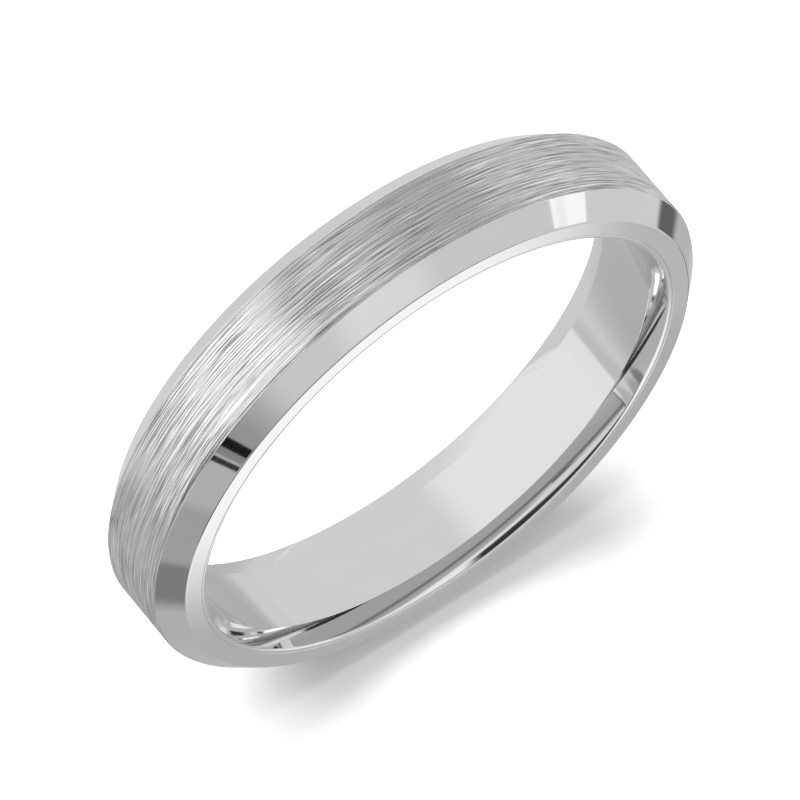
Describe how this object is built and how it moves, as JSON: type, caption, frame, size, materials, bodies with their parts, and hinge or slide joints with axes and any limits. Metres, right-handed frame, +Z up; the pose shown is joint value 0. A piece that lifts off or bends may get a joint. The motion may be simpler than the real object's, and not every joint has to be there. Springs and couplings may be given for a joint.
{
  "type": "wedding band",
  "caption": "Comfort-fit wedding band with a flat brushed centre between polished bevelled edges and a rounded polished bore.",
  "frame": {"origin": "centre of the finger bore, which is also the middle of the band", "axes": "+Y along the finger bore, from the front bevel ring to the rear one; +Z up, with the band standing on its rim"},
  "size_m": [0.0214, 0.004, 0.0214],
  "materials": {
    "polished_liner": "polished",
    "brushed_centre": "satin",
    "polished_bevel": "polished"
  },
  "bodies": {
    "root": {"comfort_liner": "polished_liner", "centre_band": "brushed_centre", "front_bevel_ring": "polished_bevel", "rear_bevel_ring": "polished_bevel"}
  },
  "joints": []
}
